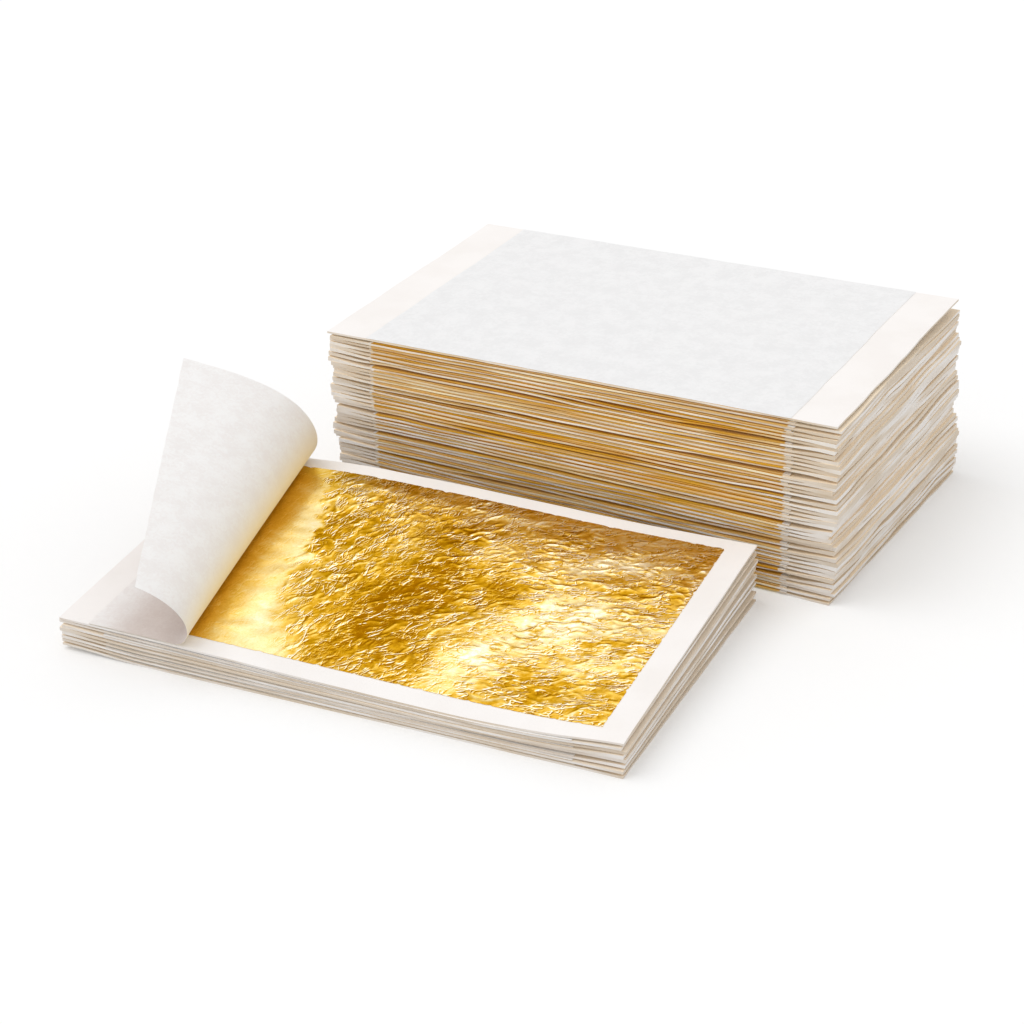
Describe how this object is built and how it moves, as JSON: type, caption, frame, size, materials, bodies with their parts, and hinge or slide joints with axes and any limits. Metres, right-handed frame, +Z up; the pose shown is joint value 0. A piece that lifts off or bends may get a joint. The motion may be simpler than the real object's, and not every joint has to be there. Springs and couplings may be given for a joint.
{
  "type": "gold leaf booklet",
  "caption": "Gold leaf sheets between backing papers and tissues: an open pile with its top tissue curled back over a bare leaf, and a tall closed pile behind it.",
  "frame": {"origin": "middle of the bottom of the box that holds both piles, on the table", "axes": "+X to the right along the long side of the closed pile's sheets, +Y from the open pile to the closed one, +Z up"},
  "size_m": [0.1129, 0.1362, 0.0334],
  "materials": {
    "backing_paper": "smooth uncoated paper, warm white, cream at its cut edges",
    "gold_leaf": "bright gold leaf with fine creases",
    "tissue": "thin matt tissue with mottled fibre"
  },
  "bodies": {
    "base": {"open_backing_1": "backing_paper", "open_leaf_1": "gold_leaf", "open_tissue_1": "tissue", "closed_backings_1": "backing_paper", "closed_leaves_1": "gold_leaf", "closed_tissues_1": "tissue"},
    "open_set_2": {"open_backing_2": "backing_paper", "open_leaf_2": "gold_leaf", "open_tissue_2": "tissue"},
    "open_set_3": {"open_backing_3": "backing_paper", "open_leaf_3": "gold_leaf", "open_tissue_3": "tissue"},
    "open_set_4": {"open_backing_4": "backing_paper", "open_leaf_4": "gold_leaf", "open_tissue_4": "tissue"},
    "open_set_5": {"open_backing_5": "backing_paper", "open_leaf_5": "gold_leaf", "open_tissue_5": "tissue"},
    "open_set_6": {"open_backing_6": "backing_paper", "open_leaf_6": "gold_leaf", "open_tissue_6": "tissue"},
    "open_set_7": {"open_backing_7": "backing_paper", "open_leaf_7": "gold_leaf", "open_tissue_7": "tissue"},
    "open_top_backing": {"open_backing_8": "backing_paper"},
    "exposed_leaf": {"exposed_leaf": "gold_leaf"},
    "peeled_tissue": {"peeled_tissue": "tissue"},
    "closed_packet_2": {"closed_backings_2": "backing_paper", "closed_leaves_2": "gold_leaf", "closed_tissues_2": "tissue"},
    "closed_packet_3": {"closed_backings_3": "backing_paper", "closed_leaves_3": "gold_leaf", "closed_tissues_3": "tissue"},
    "closed_packet_4": {"closed_backings_4": "backing_paper", "closed_leaves_4": "gold_leaf", "closed_tissues_4": "tissue"},
    "closed_packet_5": {"closed_backings_5": "backing_paper", "closed_leaves_5": "gold_leaf", "closed_tissues_5": "tissue"},
    "closed_packet_6": {"closed_backings_6": "backing_paper", "closed_leaves_6": "gold_leaf", "closed_tissues_6": "tissue"},
    "closed_packet_7": {"closed_backings_7": "backing_paper", "closed_leaves_7": "gold_leaf", "closed_tissues_7": "tissue"},
    "closed_packet_8": {"closed_backings_8": "backing_paper", "closed_leaves_8": "gold_leaf", "closed_tissues_8": "tissue"},
    "closed_packet_9": {"closed_backings_9": "backing_paper", "closed_leaves_9": "gold_leaf", "closed_tissues_9": "tissue"},
    "closed_packet_10": {"closed_backings_10": "backing_paper", "closed_leaves_10": "gold_leaf", "closed_tissues_10": "tissue"},
    "closed_top_backing": {"closed_top_backing": "backing_paper"},
    "closed_top_leaf": {"closed_top_leaf": "gold_leaf"},
    "closed_top_tissue": {"closed_top_tissue": "tissue"}
  },
  "joints": [
    {"name": "open_set_2_lift", "type": "slide", "parent": "base", "child": "open_set_2", "axis": [0, 0, 1], "range_m": [0, 0.02]},
    {"name": "open_set_3_lift", "type": "slide", "parent": "open_set_2", "child": "open_set_3", "axis": [0, 0, 1], "range_m": [0, 0.02]},
    {"name": "open_set_4_lift", "type": "slide", "parent": "open_set_3", "child": "open_set_4", "axis": [0, 0, 1], "range_m": [0, 0.02]},
    {"name": "open_set_5_lift", "type": "slide", "parent": "open_set_4", "child": "open_set_5", "axis": [0, 0, 1], "range_m": [0, 0.02]},
    {"name": "open_set_6_lift", "type": "slide", "parent": "open_set_5", "child": "open_set_6", "axis": [0, 0, 1], "range_m": [0, 0.02]},
    {"name": "open_set_7_lift", "type": "slide", "parent": "open_set_6", "child": "open_set_7", "axis": [0, 0, 1], "range_m": [0, 0.02]},
    {"name": "open_top_backing_lift", "type": "slide", "parent": "open_set_7", "child": "open_top_backing", "axis": [0, 0, 1], "range_m": [0, 0.02]},
    {"name": "exposed_leaf_lift", "type": "slide", "parent": "open_top_backing", "child": "exposed_leaf", "axis": [0, 0, 1], "range_m": [0, 0.03]},
    {"name": "peeled_tissue_turn", "type": "hinge", "parent": "exposed_leaf", "child": "peeled_tissue", "pos_m": [-0.04047, -0.06542, 0.00603], "axis": [0.0921, -0.9925, -0.0804], "range_deg": [0, 80]},
    {"name": "closed_packet_2_lift", "type": "slide", "parent": "base", "child": "closed_packet_2", "axis": [0, 0, 1], "range_m": [0, 0.02]},
    {"name": "closed_packet_3_lift", "type": "slide", "parent": "closed_packet_2", "child": "closed_packet_3", "axis": [0, 0, 1], "range_m": [0, 0.02]},
    {"name": "closed_packet_4_lift", "type": "slide", "parent": "closed_packet_3", "child": "closed_packet_4", "axis": [0, 0, 1], "range_m": [0, 0.02]},
    {"name": "closed_packet_5_lift", "type": "slide", "parent": "closed_packet_4", "child": "closed_packet_5", "axis": [0, 0, 1], "range_m": [0, 0.02]},
    {"name": "closed_packet_6_lift", "type": "slide", "parent": "closed_packet_5", "child": "closed_packet_6", "axis": [0, 0, 1], "range_m": [0, 0.02]},
    {"name": "closed_packet_7_lift", "type": "slide", "parent": "closed_packet_6", "child": "closed_packet_7", "axis": [0, 0, 1], "range_m": [0, 0.02]},
    {"name": "closed_packet_8_lift", "type": "slide", "parent": "closed_packet_7", "child": "closed_packet_8", "axis": [0, 0, 1], "range_m": [0, 0.02]},
    {"name": "closed_packet_9_lift", "type": "slide", "parent": "closed_packet_8", "child": "closed_packet_9", "axis": [0, 0, 1], "range_m": [0, 0.02]},
    {"name": "closed_packet_10_lift", "type": "slide", "parent": "closed_packet_9", "child": "closed_packet_10", "axis": [0, 0, 1], "range_m": [0, 0.02]},
    {"name": "closed_top_backing_lift", "type": "slide", "parent": "closed_packet_10", "child": "closed_top_backing", "axis": [0, 0, 1], "range_m": [0, 0.02]},
    {"name": "closed_top_leaf_lift", "type": "slide", "parent": "closed_top_backing", "child": "closed_top_leaf", "axis": [0, 0, 1], "range_m": [0, 0.03]},
    {"name": "closed_top_tissue_lift", "type": "slide", "parent": "closed_top_leaf", "child": "closed_top_tissue", "axis": [0, 0, 1], "range_m": [0, 0.03]}
  ]
}
